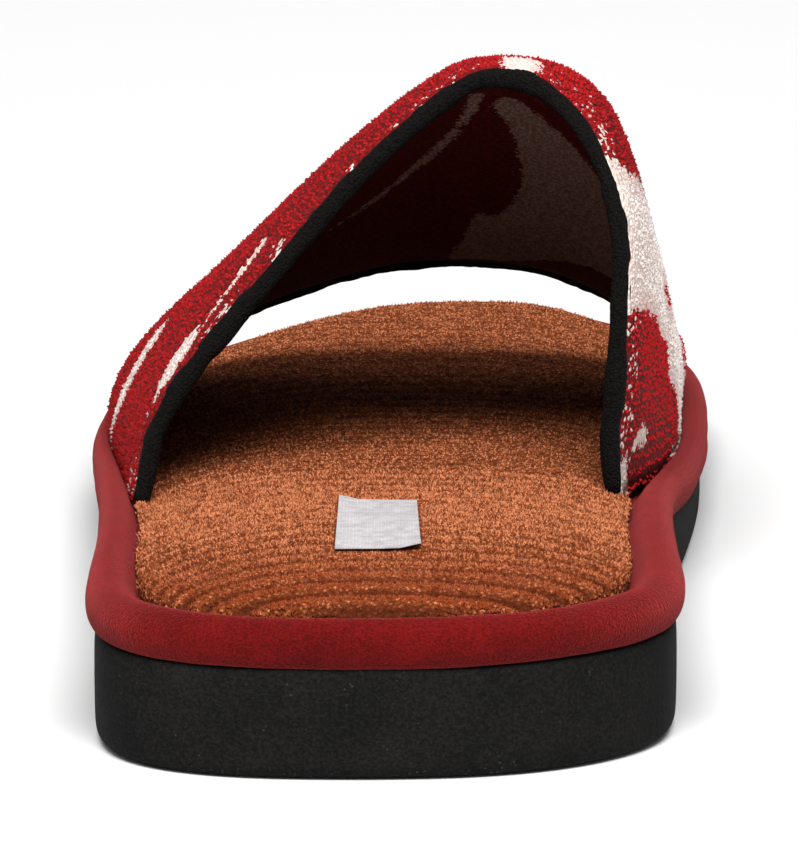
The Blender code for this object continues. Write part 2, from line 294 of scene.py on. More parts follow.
def roughen(piece, size, depth):
    """Push a piece's surface in and out by depth, in soft clouds of the given size."""
    clouds = bpy.data.textures.new(piece.name + "_clouds", "CLOUDS")
    clouds.noise_scale = size
    push = piece.modifiers.new("roughening", "DISPLACE")
    push.texture = clouds
    push.texture_coords = "LOCAL"
    push.strength = depth
    bpy.context.view_layer.objects.active = piece
    bpy.ops.object.modifier_apply(modifier=push.name)


platform = copy_of("midsole", "platform_velvet")
subdivide(platform, PLATFORM_SMOOTHING)
platform_places, platform_normals = points_of(platform)
towards_toe = eased(platform_places[:, 1], ROLL_DROP_FROM, ROLL_DROP_TO)
platform_places[:, 2] -= ROLL_DROP * towards_toe * np.clip(platform_normals[:, 2], 0, 1)
platform_places[:, 2] -= ROLL_SAG * np.clip(-platform_normals[:, 2], 0, 1)
move_points(platform, platform_places)
roughen(platform, VELVET_WAVE, VELVET_WAVE_DEPTH)
smooth_shaded(platform)
tree, shader, place = finish_on(platform, "burgundy_velvet")
brushed = noise(tree, place, VELVET_BRUSHED, detail=2.0)
nap = noise(tree, place, VELVET_NAP, detail=3.0, roughness=0.6)
nap_tone = weighed(tree, brushed, 0.25, nap, 0.75)
velvet = mix(tree, spread(tree, nap_tone, 0.34, 0.66), VELVET_DEEP, VELVET_RED)
dress(tree, shader, velvet, nap, VELVET_NAP_DEPTH, roughness=0.9, shine=0.08)
shader.inputs["Sheen Weight"].default_value = 0.38
shader.inputs["Sheen Roughness"].default_value = 0.3
shader.inputs["Sheen Tint"].default_value = VELVET_SHEEN
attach(platform, "root")
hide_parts("midsole")

# Sock: a foam pad covered with tan terry cloth that is knitted in ribs across the foot, glued on to the
# platform inside its roll. The ribs bend back at the sides, stand up round the heel and are pressed flat
# where the foot has worn them.
SOCK_SMOOTHING = 3
RIB_PITCH = 0.0054
RIB_HEIGHT = 0.0016
RIB_ARCH = 0.018
RIB_ARCH_WIDTH = 0.036
RIB_ARCH_POWER = 3.5
# Height on a rib, as a share of it, where the cloth keeps its level
RIB_LEVEL = 0.7
# How far the ribs stand at places along the sock, from the heel end to the toe end
RIB_PLACES = (-0.131, -0.095, -0.075, -0.060, -0.045, 0.000, 0.050, 0.131)
RIB_SHARES = (1.00, 0.80, 0.15, 0.20, 0.50, 0.55, 0.45, 0.25)
# Between the sides of the vamp the sock is drawn in, and it bulges a little just before them
SOCK_DRAWN_IN = 0.0009
SOCK_WAIST = (-0.066, -0.046, -0.034, 0.064, 0.074)
SOCK_WAIST_SHARES = (0.0, -0.6, 1.0, 1.0, 0.0)
# The ends of the collar press a dip into both edges of the sock: place off the middle and along, and reach
SOCK_DIP = 0.0015
SOCK_DIP_PLACE = (0.037, -0.043)
SOCK_DIP_REACH = (0.006, 0.012)
# Painted shade: the terry's dark colour for the pits between loops, the valleys between ribs and the roots
# of tufts
TERRY_SHADE = (0.062, 0.011, 0.003, 1.0)
TERRY_TAN = (0.165, 0.038, 0.011, 1.0)
TERRY_TIP = (0.560, 0.190, 0.083, 1.0)
TERRY_LOOP = 0.0007
TERRY_LOOP_DEPTH = 0.0005
TERRY_FIBRE = 0.0004
TERRY_MOTTLE = 0.0035


def keep_values(piece, name, values):
    """Store a value for each point of a piece as an attribute that its material reads."""
    stored = piece.data.attributes.new(name, "FLOAT", "POINT")
    stored.data.foreach_set("value", np.ascontiguousarray(values, dtype=np.float32).ravel())


def kept(tree, name):
    """The value that is stored under a name for each point of a piece."""
    return node(tree, "ShaderNodeAttribute", {}, attribute_name=name).outputs["Fac"]


sock = copy_of("insole", "sock_terry")
subdivide(sock, SOCK_SMOOTHING)
sock_places, sock_normals = points_of(sock)
facing_up = np.clip(sock_normals[:, 2], 0, 1)
off_middle = np.abs(sock_places[:, 0]) / RIB_ARCH_WIDTH
rib_turns = (sock_places[:, 1] + RIB_ARCH * off_middle**RIB_ARCH_POWER) / RIB_PITCH
rib_share = np.interp(sock_places[:, 1], RIB_PLACES, RIB_SHARES) * facing_up
rib_crest = np.abs(np.sin(math.pi * rib_turns))
under_vamp = np.interp(sock_places[:, 1], SOCK_WAIST, SOCK_WAIST_SHARES)
sock_places[:, 2] += RIB_HEIGHT * rib_share * (rib_crest - RIB_LEVEL)
sock_places[:, 0] -= SOCK_DRAWN_IN * under_vamp * np.sign(sock_places[:, 0]) * np.clip(off_middle, 0, 1)
dip_across = (np.abs(sock_places[:, 0]) - SOCK_DIP_PLACE[0]) / SOCK_DIP_REACH[0]
dip_along = (sock_places[:, 1] - SOCK_DIP_PLACE[1]) / SOCK_DIP_REACH[1]
sock_places[:, 2] -= SOCK_DIP * facing_up * np.exp(-(dip_across**2) - dip_along**2)
move_points(sock, sock_places)
sock_valley = rib_share * (1 - rib_crest)
keep_values(sock, "valley", sock_valley)
smooth_shaded(sock)
tree, shader, place = finish_on(sock, "tan_terry")
loops = knobs(tree, place, TERRY_LOOP)
fibre = noise(tree, place, TERRY_FIBRE, detail=2.0)
mottle = noise(tree, place, TERRY_MOTTLE, detail=3.0)
loop_height = calc(tree, "SUBTRACT", weighed(tree, fibre, 1.0, mottle, 0.6), loops)
# The pits between the loops and the valleys between the ribs are darkened with painted shade
terry = mix(tree, spread(tree, loop_height, -0.15, 0.45), TERRY_SHADE, TERRY_TAN)
terry = mix(tree, spread(tree, loop_height, 0.35, 0.85), terry, TERRY_TIP)
terry = mix(tree, spread(tree, kept(tree, "valley"), 0.05, 0.6, 0.0, 0.9), terry, TERRY_SHADE)
dress(tree, shader, terry, loop_height, TERRY_LOOP_DEPTH, roughness=0.95, shine=0.06)
shader.inputs["Sheen Weight"].default_value = 0.10
shader.inputs["Sheen Roughness"].default_value = 0.5
shader.inputs["Sheen Tint"].default_value = TERRY_TIP
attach(sock, "root")
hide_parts("insole")

# Terry pile: the sock cloth's own loops, thousands of short tufts that stand close together, lower in the
# valleys between the ribs and missing under the tag. Round the heel they are worn to a darker rust.
PILE_SEED = 7
# Name, from and to along the sock, number of tufts and their height
TUFT_PARTS = (("heel_pile", -0.131, -0.035, 48000, 0.00046), ("toe_pile", -0.035, 0.131, 30000, 0.00034))
TUFT_HEIGHT_SPREAD = (0.6, 1.2)
TUFT_LOST_IN_VALLEY = 0.85
TUFT_REACH = 0.00030
TUFT_REACH_SPREAD = (0.8, 1.25)
TUFT_LEAN = 0.00022
TUFT_ROOT = 0.0003
TUFT_SIDES = 3
TUFT_FACES = ((0, 1, 3), (1, 2, 3), (2, 0, 3), (2, 1, 0))
TUFT_MOTTLE = 0.0022
TUFT_FUZZ = 0.00025
TUFT_FUZZ_DEPTH = 0.0002
TERRY_RUST = (0.215, 0.033, 0.008, 1.0)
TERRY_RUST_FULL = -0.122
TERRY_RUST_FROM = -0.088


def joined_mesh(name, points, faces):
    """One piece from many small like bodies: the points of each body, and the faces of one."""
    count, each = points.shape[:2]
    numbers = (np.arange(count) * each)[:, None, None] + np.array(faces)
    mesh = bpy.data.meshes.new(name)
    mesh.from_pydata(points.reshape(-1, 3).tolist(), [], numbers.reshape(-1, numbers.shape[-1]).tolist())
    piece = bpy.data.objects.new(name, mesh)
    bpy.context.scene.collection.objects.link(piece)
    return piece


chance = np.random.default_rng(PILE_SEED)
quads = np.empty(len(sock.data.loops), dtype=np.int32)
sock.data.loops.foreach_get("vertex_index", quads)
quads = quads.reshape(-1, 4)
quad_places = sock_places[quads]
diagonals = np.cross(quad_places[:, 2] - quad_places[:, 0], quad_places[:, 3] - quad_places[:, 1])
top_area = np.clip(diagonals[:, 2], 0, None) / 2
quad_along = quad_places[:, :, 1].mean(1)
tag_box_low, tag_box_high = (np.array(corner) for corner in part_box("label"))
for pile_name, pile_from, pile_to, tuft_count, tuft_height in TUFT_PARTS:
    area = np.cumsum(top_area * ((quad_along >= pile_from) & (quad_along < pile_to)))
    chosen = np.searchsorted(area / area[-1], chance.random(tuft_count))
    across, up = chance.random((2, tuft_count, 1))
    weights = np.hstack([(1 - across) * (1 - up), across * (1 - up), across * up, (1 - across) * up])
    roots = (quad_places[chosen] * weights[..., None]).sum(1)
    root_valley = (sock_valley[quads][chosen] * weights).sum(1)
    under_tag = np.all((roots[:, :2] > tag_box_low[:2]) & (roots[:, :2] < tag_box_high[:2]), axis=1)
    roots, root_valley = roots[~under_tag], root_valley[~under_tag]
    count = len(roots)
    turns = chance.random(count)[:, None] * 2 * math.pi + np.arange(TUFT_SIDES) * 2 * math.pi / TUFT_SIDES
    reach = TUFT_REACH * chance.uniform(*TUFT_REACH_SPREAD, count)[:, None]
    tall = tuft_height * chance.uniform(*TUFT_HEIGHT_SPREAD, count) * (1 - TUFT_LOST_IN_VALLEY * root_valley)
    tufts = np.repeat(roots[:, None], TUFT_SIDES + 1, axis=1)
    tufts[:, :TUFT_SIDES, 0] += reach * np.cos(turns)
    tufts[:, :TUFT_SIDES, 1] += reach * np.sin(turns)
    tufts[:, :TUFT_SIDES, 2] -= TUFT_ROOT
    tufts[:, TUFT_SIDES, :2] += chance.normal(0, TUFT_LEAN, (count, 2))
    tufts[:, TUFT_SIDES, 2] += tall
    pile = joined_mesh(pile_name, tufts, TUFT_FACES)
    keep_values(pile, "tip", np.tile((0.0, 0.0, 0.0, 1.0), (count, 1)))
    keep_values(pile, "tone", np.repeat(chance.random((count, 1)), TUFT_SIDES + 1, axis=1))
    keep_values(pile, "valley", np.repeat(root_valley[:, None], TUFT_SIDES + 1, axis=1))
    smooth_shaded(pile)
    tree, shader, place = finish_on(pile, pile_name + "_terry")
    length_along = node(tree, "ShaderNodeSeparateXYZ", {0: place}).outputs["Y"]
    at_heel = spread(tree, length_along, TERRY_RUST_FULL, TERRY_RUST_FROM, 0.85, 0.0)
    mottle = noise(tree, place, TUFT_MOTTLE, detail=3.0)
    tuft_tone = weighed(tree, kept(tree, "tone"), 0.6, mottle, 0.9)
    tuft_tip = mix(tree, spread(tree, tuft_tone, 0.46, 0.96), TERRY_TAN, TERRY_TIP)
    tuft_tip = mix(tree, at_heel, tuft_tip, TERRY_RUST)
    # Each tuft darkens with painted shade towards its root, and tufts in the rib valleys take painted shade
    # too
    tuft = mix(tree, spread(tree, kept(tree, "tip"), 0.0, 0.8, 0.1, 1.0), TERRY_SHADE, tuft_tip)
    tuft = mix(tree, spread(tree, kept(tree, "valley"), 0.05, 0.55, 0.0, 0.95), tuft, TERRY_SHADE)
    fuzz = noise(tree, place, TUFT_FUZZ, detail=2.0)
    dress(tree, shader, tuft, fuzz, TUFT_FUZZ_DEPTH, roughness=0.95, shine=0.05)
    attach(pile, "root")
    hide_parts("insole")

# Vamp: one panel of red and cream floral chenille jacquard over thin foam, cut flat and drawn over the last,
# its sides sewn in between platform and sock. It is puffed out in front of the bound collar and has a few
# soft folds.
VAMP_SMOOTHING = 3
WALL_CORNER = 50
FACING_UP = 0.5
CLOTH_THICKNESS = 0.0012
VAMP_SHARE_KEPT = 0.7
# Rise of the padding in front of the collar, from the lateral foot (-1) over the ridge to the medial one (1)
PUFF_PLACES = (-1.0, -0.8, -0.6, -0.35, -0.1, 0.0, 0.15, 0.35, 0.8, 1.0)
PUFF_RISES = (0.0, 0.0002, -0.0008, -0.0008, -0.0005, -0.0002, 0.0, 0.0010, 0.0014, 0.0008)
PUFF_FROM_EDGE = 0.008
PUFF_POWER = 1.5
# Rise of the collar edge itself, over the same stretch
EDGE_PLACES = (-1.0, -0.92, -0.82, -0.7, -0.6, -0.5, -0.4, -0.2, -0.1, 0.0, 0.06, 0.12, 0.2, 0.3, 0.4, 0.5,
               0.6, 0.7, 0.8, 0.9, 1.0)
EDGE_RISES = (0.0, 0.0013, 0.0024, 0.0005, -0.0007, -0.0012, -0.0003, -0.0005, -0.0004, 0.0, -0.0006,
              -0.0010, -0.0020, -0.0022, -0.0020, -0.0010, 0.0007, 0.0010, 0.0012, -0.0012, -0.0012)
EDGE_LENGTH = 0.007
# Fall of the toe edge, which hangs over the sock a little
TOE_FALL_PLACES = (-1.0, -0.85, -0.6, -0.1, 0.15, 0.6, 0.85, 1.0)
TOE_FALLS = (0.0, 0.0015, 0.0030, 0.0019, 0.0017, 0.0030, 0.0015, 0.0)
TOE_FALL_LENGTH = 0.022
# Bends in these tables are evened over a row's length divided by this, to both sides
EVENED_PART = 16
TOE_PUFF = 0.0008
TOE_PUFF_FROM_EDGE = 0.006
# The cut edges turn in under the tape, and the feet are tucked down and out below the sock
RIM_TURN = 0.0003
RIM_TURN_LENGTH = 0.0015
TUCK_DOWN = 0.0026
TUCK_OUT = 0.0007
TUCK_HEIGHT = 0.008
# The medial end of the collar stands a little further in
COLLAR_END_IN = 0.0018
COLLAR_END_HEIGHT = 0.007
COLLAR_END_LENGTH = 0.014
# Soft folds in millimetres on the flat panel: over from the ridge, along from the collar, half length, half
# width, turn in degrees from across the foot, and height, below zero for a trough
FOLDS = (
    (-58, 24, 15, 3.5, -12, -0.7),
    (-50, 84, 20, 4.5, 14, -1.1),
    (-44, 94, 18, 4.0, 10, 0.7),
    (-30, 70, 22, 6.0, -24, -0.6),
    (46, 78, 18, 4.0, -16, -0.9),
    (42, 88, 16, 4.0, -10, 0.6),
    (58, 52, 12, 3.5, 20, -0.6),
    (50, 45, 14, 22, 0, -0.8),
    (48, 80, 14, 26, 0, -0.5),
    (-46, 36, 22, 40, 0, -0.95),
    (-52, 10.5, 24, 2.4, 6, -0.8),
)
CREAM = 1
RED = -1
# Patches in millimetres on the flat panel, woven one over another on red cloth: tone and outline, each
# point over from the ridge and along from the collar
OUTER_PATCHES = (
    (CREAM, ((22, -1), (26, 3), (29, 6), (30.5, 14), (31, 24), (32, 42), (35, 62), (38, 80), (46, 95),
             (56, 100), (66, 96), (76, 80), (80, 40), (60, -1))),
    (RED, ((45.5, 50), (48, 54), (47.5, 57), (45, 54))),
    (RED, ((47, -1), (48, 3), (50, 8), (52, 20), (53, 32), (55.5, 36), (55, 46), (60, 47), (60.5, 57),
           (63, 64), (67, 60), (70, 48), (78, 42), (78, -1))),
    (CREAM, ((67.5, 13), (69.5, 20), (71, 18), (70.4, 8), (69, 8))),
    (CREAM, ((69.4, -1), (69.6, 4), (71, 5.5), (77, 6), (77, -1))),
    (CREAM, ((-77, 6), (-76.5, 10), (-74, 13), (-70, 13.5), (-66, 12.5), (-63.5, 11), (-63.5, 6), (-66, 3),
             (-71, 1.5), (-74.5, 3))),
    (CREAM, ((-46, 13.5), (-50, 12.6), (-58, 11), (-62, 10.4), (-65, 10.4), (-65, 7.6), (-62, 7.8),
             (-58, 9), (-54, 9.9), (-50, 11), (-46, 12.4))),
    (CREAM, ((-58, 51), (-62, 53), (-67, 52), (-73, 54), (-78, 58), (-78, 54), (-74, 47), (-71, 45),
             (-66, 45), (-62, 44), (-58, 48))),
    (CREAM, ((0.5, -1), (-0.3, 4), (1, 7.5), (6, 7.5), (6.5, 4), (4.5, -1))),
)
# Open flowers on the rest of the panel: over, along, reach and turn in degrees
OUTER_FLOWERS = ((-26, 66, 27, 10), (-60, 100, 20, 40), (14, 92, 19, -15), (58, 94, 16, 25))
FLOWER_PETALS = 5
# Shares of a flower's reach: a petal's half length and half width, its red heart's, and where that starts
PETAL_SHARES = (0.5, 0.36)
HEART_SHARES = (0.33, 0.2)
HEART_ROOT_SHARE = 0.18
PETAL_TAPER = 0.45
PETAL_POINTS = 20
# Cream knobs strewn among the red ones: over, along, reach in millimetres, and share of the knobs
STREWN = (
    (-45, 1, 1.6, 0.5), (-57.5, 2, 1.8, 0.5), (-61, 1, 1.6, 0.5), (-78, 4, 1.6, 0.6), (-84, 4, 2, 0.4),
    (-87, 9, 2, 0.4), (-86, 0, 2, 0.4), (-14, 1, 2, 0.2), (-20, 0, 1.6, 0.2), (-28, 1, 2, 0.2),
    (-6, 1, 3, 0.2), (9, 1, 3, 0.2), (17, 1, 3, 0.2), (21, 1, 2.5, 0.5), (50, 1, 3, 0.2), (56, 2, 3, 0.3),
    (61, 1, 3, 0.25), (66, 2, 3, 0.35), (70, 3, 3, 0.35),
)
JACQUARD_RED = (0.185, 0.0030, 0.0038, 1.0)
JACQUARD_BRIGHT = (0.460, 0.0085, 0.0110, 1.0)
# Painted shade of the red, for the roots of the knobs and the gaps between them
JACQUARD_ROOT_SHADE_RED = (0.075, 0.0016, 0.0022, 1.0)
JACQUARD_CREAM = (0.800, 0.710, 0.660, 1.0)
JACQUARD_WHITE = (0.900, 0.850, 0.810, 1.0)
JACQUARD_SHADE = (0.520, 0.420, 0.370, 1.0)
CHENILLE_KNOB = 0.00075
CHENILLE_DEPTH = 0.0003
CHENILLE_ROW = 1.1
MILLIMETRES = 1000
FAR_FROM_CREAM = -20.0


def vamp_face(name, smoothing):
    """The vamp's outer face as an open, smoothed sheet."""
    sheet = copy_of("upper", name)
    bpy.ops.object.mode_set(mode="EDIT")
    bpy.ops.mesh.select_mode(type="FACE")
    bpy.ops.mesh.select_all(action="DESELECT")
    bpy.ops.object.mode_set(mode="OBJECT")
    ridge_face = max(sheet.data.polygons, key=lambda face: face.center.z * (face.normal.z > FACING_UP))
    ridge_face.select = True
    bpy.ops.object.mode_set(mode="EDIT")
    bpy.ops.mesh.faces_select_linked_flat(sharpness=math.radians(WALL_CORNER))
    bpy.ops.mesh.select_all(action="INVERT")
    bpy.ops.mesh.delete(type="FACE")
    bpy.ops.object.mode_set(mode="OBJECT")
    subdivide(sheet, smoothing)
    return sheet


def rows_of(sheet):
    """Point numbers of a vamp sheet: rows from lateral to medial foot, from the collar to the toe."""
    mesh = bmesh.new()
    mesh.from_mesh(sheet.data)
    corners = [point for point in mesh.verts if len(point.link_edges) == 2]
    row = [min(corners, key=lambda point: point.co.x + point.co.y)]
    row.append(max((edge.other_vert(row[0]) for edge in row[0].link_edges), key=lambda point: point.co.z))
    while len(row[-1].link_edges) > 2:
        ahead = [edge.other_vert(row[-1]) for edge in row[-1].link_edges if edge.is_boundary]
        row.append(next(point for point in ahead if point is not row[-2]))
    rows = []
    used = set()
    while row:
        rows.append([point.index for point in row])
        used.update(row)
        ahead = [[edge.other_vert(point) for edge in point.link_edges] for point in row]
        row = [point for near in ahead for point in near if point not in used]
    mesh.free()
    return np.array(rows)


def run(places, axis):
    """Length along the rows or columns of a sheet's points, from its first point."""
    steps = np.linalg.norm(np.diff(places, axis=axis), axis=2)
    return np.insert(np.cumsum(steps, axis=axis), 0, 0, axis=axis)


def outwards(places):
    """Unit normals of a vamp sheet's points, away from the foot."""
    normals = np.cross(np.gradient(places, axis=1), np.gradient(places, axis=0))
    return normals / np.linalg.norm(normals, axis=2, keepdims=True)


def across_rows(columns, places, values):
    """Values given from the lateral (-1) to the medial foot (1), for each column, with soft bends."""
    given = np.interp(np.linspace(-1, 1, columns), places, values)
    window = columns // EVENED_PART
    evening = np.ones(2 * window + 1) / (2 * window + 1)
    return np.convolve(np.pad(given, window, mode="edge"), evening, "valid")


def turned(over, along, middle_over, middle_along, turn):
    """Flat places in millimetres as seen from a middle point, turned by degrees."""
    across, up = over - middle_over, along - middle_along
    cosine, sine = math.cos(math.radians(turn)), math.sin(math.radians(turn))
    return across * cosine + up * sine, up * cosine - across * sine


def depth_in(over, along, outline):
    """How deep flat places lie inside an outline, below 0 outside it."""
    inside = np.zeros(over.shape, bool)
    nearest = np.full(over.shape, np.inf)
    for (start_over, start_along), (end_over, end_along) in zip(outline, outline[1:] + outline[:1]):
        side_over, side_along = end_over - start_over, end_along - start_along
        off_over, off_along = over - start_over, along - start_along
        share = (off_over * side_over + off_along * side_along) / (side_over**2 + side_along**2)
        share = np.clip(share, 0, 1)
        distance = np.hypot(off_over - share * side_over, off_along - share * side_along)
        nearest = np.minimum(nearest, distance)
        if side_along != 0:
            crossed = (start_along > along) != (end_along > along)
            inside ^= crossed & (off_over < off_along * side_over / side_along)
    return np.where(inside, nearest, -nearest)


def painted(over, along, patches):
    """How deep a flat place lies inside the cream (above 0) or the red (below 0), in millimetres."""
    depth = np.full(over.shape, FAR_FROM_CREAM)
    for tone, outline in patches:
        inside = depth_in(over, along, outline)
        depth = np.maximum(depth, inside) if tone == CREAM else np.minimum(depth, -inside)
    return depth


def petal(over, along, half_length, half_width, turn):
    """Outline of a petal, pointed towards its root, that grows from a place in the direction of turn."""
    outline = []
    cosine, sine = math.cos(math.radians(turn)), math.sin(math.radians(turn))
    for k in range(PETAL_POINTS):
        angle = 2 * math.pi * k / PETAL_POINTS
        out = half_length * (1 + math.cos(angle))
        aside = half_width * math.sin(angle) * (1 + PETAL_TAPER * math.cos(angle))
        outline.append((over + out * cosine - aside * sine, along + out * sine + aside * cosine))
    return tuple(outline)


def flower(over, along, reach, turn):
    """Patches of one open flower: cream petals with a red heart in each."""
    patches = []
    turns = [turn + 360 * k / FLOWER_PETALS for k in range(FLOWER_PETALS)]
    for angle in turns:
        petal_size = [share * reach for share in PETAL_SHARES]
        patches.append((CREAM, petal(over, along, *petal_size, angle)))
    for angle in turns:
        root_over = over + HEART_ROOT_SHARE * reach * math.cos(math.radians(angle))
        root_along = along + HEART_ROOT_SHARE * reach * math.sin(math.radians(angle))
        heart_size = [share * reach for share in HEART_SHARES]
        patches.append((RED, petal(root_over, root_along, *heart_size, angle)))
    return patches


def strewn_share(over, along, clusters):
    """Share of cream knobs strewn over the red at each flat place."""
    share = np.zeros(over.shape)
    for middle_over, middle_along, reach, density in clusters:
        near = np.hypot(over - middle_over, along - middle_along) / reach
        share = np.maximum(share, density * np.exp(-near**2))
    return share


def keep_row_values(piece, name, rows, values):
    """Store a value for each point of a sheet's rows."""
    ordered = np.empty(rows.size)
    ordered[rows.ravel()] = values.ravel()
    keep_values(piece, name, ordered)


def place_rows(piece, rows, places):
    """Put the points of a sheet's rows at new places."""
    ordered = np.empty((rows.size, 3))
    ordered[rows.ravel()] = places.reshape(-1, 3)
    move_points(piece, ordered)


def thicken(piece, thickness, offset, share_kept=1.0):
    """Give a sheet its thickness, inwards (offset -1) or outwards (1), its back thinned out if asked."""
    back = piece.vertex_groups.new(name="back")
    wall = piece.modifiers.new("thickness", "SOLIDIFY")
    wall.thickness = thickness
    wall.offset = offset
    wall.shell_vertex_group = back.name
    bpy.context.view_layer.objects.active = piece
    bpy.ops.object.modifier_apply(modifier=wall.name)
    if share_kept < 1:
        fewer = piece.modifiers.new("fewer", "DECIMATE")
        fewer.ratio = share_kept
        fewer.vertex_group = back.name
        bpy.ops.object.modifier_apply(modifier=fewer.name)


def jacquard_on(piece, name, reds, creams, knob_size, knob_depth):
    """Chenille jacquard: rows of soft knobs over the foot, red or cream by the pattern, painted shade
    between them.
    """
    tree, shader, place = finish_on(piece, name)
    cells = node(tree, "ShaderNodeTexVoronoi", {"Vector": place, "Scale": 1 / knob_size})
    knob = cells.outputs["Distance"]
    random = node(tree, "ShaderNodeSeparateColor", {0: cells.outputs["Color"]})
    row_turn = calc(tree, "MULTIPLY", kept(tree, "along"), math.pi / CHENILLE_ROW)
    row = calc(tree, "ABSOLUTE", calc(tree, "SINE", row_turn))
    fibre = noise(tree, place, knob_size / 3, detail=2.0)
    ragged = calc(tree, "SUBTRACT", random.outputs["Red"], 0.5)
    woven = spread(tree, calc(tree, "ADD", kept(tree, "cream"), ragged), -0.10, 0.10)
    stray = spread(tree, calc(tree, "SUBTRACT", kept(tree, "strewn"), random.outputs["Green"]), 0.0, 0.03)
    cream_share = calc(tree, "MAXIMUM", woven, stray)
    # Gaps between the knobs take the third colour of each tone, a painted shade
    knob_gap_shade = spread(tree, weighed(tree, knob, 1.0, fibre, 0.3), 0.35, 0.85)
    red = mix(tree, knob_gap_shade, mix(tree, random.outputs["Blue"], reds[0], reds[1]), reds[2])
    cream = mix(tree, knob_gap_shade, mix(tree, random.outputs["Blue"], creams[0], creams[1]), creams[2])
    jacquard = mix(tree, cream_share, red, cream)
    lift = calc(tree, "SUBTRACT", weighed(tree, row, 0.35, fibre, 0.3), knob)
    dress(tree, shader, jacquard, lift, knob_depth, roughness=0.85, shine=0.12)


vamp = vamp_face("vamp_jacquard", VAMP_SMOOTHING)
vamp_rows = rows_of(vamp)
vamp_places = points_of(vamp)[0][vamp_rows]
vamp_outward = outwards(vamp_places)
from_collar = run(vamp_places, 0)
from_toe = from_collar[-1] - from_collar
from_lateral = run(vamp_places, 1)
from_foot = np.minimum(from_lateral, from_lateral[:, -1:] - from_lateral)
columns = vamp_rows.shape[1]
ridge = columns // 2
flat_over = (from_lateral - from_lateral[:, ridge:ridge + 1]) * MILLIMETRES
flat_along = from_collar * MILLIMETRES
share_over = np.linspace(-1, 1, columns)
standing = np.clip(from_foot / TUCK_HEIGHT, 0, 1)
rim_puff = (from_collar / PUFF_FROM_EDGE * np.exp(1 - from_collar / PUFF_FROM_EDGE)) ** PUFF_POWER
toe_puff = (from_toe / TOE_PUFF_FROM_EDGE * np.exp(1 - from_toe / TOE_PUFF_FROM_EDGE)) ** PUFF_POWER
rise = across_rows(columns, PUFF_PLACES, PUFF_RISES) * rim_puff + TOE_PUFF * toe_puff
rise += across_rows(columns, EDGE_PLACES, EDGE_RISES) * np.exp(-((from_collar / EDGE_LENGTH) ** 2))
rise -= RIM_TURN * np.clip(1 - np.minimum(from_collar, from_toe) / RIM_TURN_LENGTH, 0, 1) ** 2
for fold_over, fold_along, half_length, half_width, turn, height in FOLDS:
    across, up = turned(flat_over, flat_along, fold_over, fold_along, turn)
    rise += height / MILLIMETRES * np.exp(-((across / half_length) ** 2) - (up / half_width) ** 2)
vamp_places = vamp_places + vamp_outward * (rise * standing)[..., None]
tuck = (1 - standing) ** 2
vamp_places[..., 0] += TUCK_OUT * tuck * np.sign(share_over)
vamp_places[..., 2] -= TUCK_DOWN * tuck
end_near = np.exp(-((from_foot / COLLAR_END_HEIGHT) ** 2) - (from_collar / COLLAR_END_LENGTH) ** 2)
vamp_places[..., 0] -= COLLAR_END_IN * end_near * (share_over > 0)
toe_fall = across_rows(columns, TOE_FALL_PLACES, TOE_FALLS)
vamp_places[..., 2] -= toe_fall * np.exp(-((from_toe / TOE_FALL_LENGTH) ** 2))
place_rows(vamp, vamp_rows, vamp_places)
outer_patches = []
for flower_place in OUTER_FLOWERS:
    outer_patches += flower(*flower_place)
outer_patches += OUTER_PATCHES
keep_row_values(vamp, "cream", vamp_rows, painted(flat_over, flat_along, outer_patches))
keep_row_values(vamp, "along", vamp_rows, flat_along)
keep_row_values(vamp, "strewn", vamp_rows, strewn_share(flat_over, flat_along, STREWN))
thicken(vamp, CLOTH_THICKNESS, -1, VAMP_SHARE_KEPT)
smooth_shaded(vamp)
# The ground cloth under the knobs takes painted shade: its cream is partly the shaded cream, and its gaps
# the dark red
shaded_ground_reds = (JACQUARD_RED, JACQUARD_RED, JACQUARD_ROOT_SHADE_RED)
shaded_ground_creams = (JACQUARD_SHADE, JACQUARD_CREAM, JACQUARD_SHADE)
jacquard_on(vamp, "floral_jacquard", shaded_ground_reds, shaded_ground_creams, CHENILLE_KNOB, CHENILLE_DEPTH)
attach(vamp, "root")
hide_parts("upper")

# Chenille knobs: the jacquard's own pile, small soft knobs of cut yarn, woven close together in rows along
# the foot, each one red or cream as the pattern asks. They are clipped lower in the cream.
KNOB_REACH = 0.00056
KNOB_SIZE_SPREAD = (0.75, 1.2)
KNOB_HEIGHT = 0.00029
KNOB_LEAN = 0.00012
KNOB_ASIDE = 0.0005
KNOB_ROOT = 0.0002
KNOB_CREAM_SHARE = 0.6
KNOB_FUZZ = 0.0003
KNOB_FUZZ_DEPTH = 0.00025
# On the flat panel, in millimetres: steps along a row, and how ragged the edges of the patches are
KNOB_STEP = 1.02
KNOB_JITTER = 0.42
KNOB_FROM_EDGE = 1.0
KNOB_RAGGED = 0.35
# Cream knobs are mixed with red at a patch's edge, and pale from this depth in millimetres on
PALE_AT_EDGE = 0.5
PALE_DEPTH = 4.0
PALE_SPREAD = (0.80, 1.0)
# Knobs from this far over towards the medial foot are made brighter
BRIGHT_SPREAD = 0.75
BRIGHT_FROM_OVER = 44
BRIGHT_ADDED = 0.7
# Small amounts that keep a length above zero and a place short of the last point of a row
NEVER_ZERO = 1e-6
SHORT_OF_LAST = 0.001
KNOB_SIDES = 4
KNOB_FACES = ((0, 1, 4), (1, 2, 4), (2, 3, 4), (3, 0, 4), (2, 1, 0), (3, 2, 0))

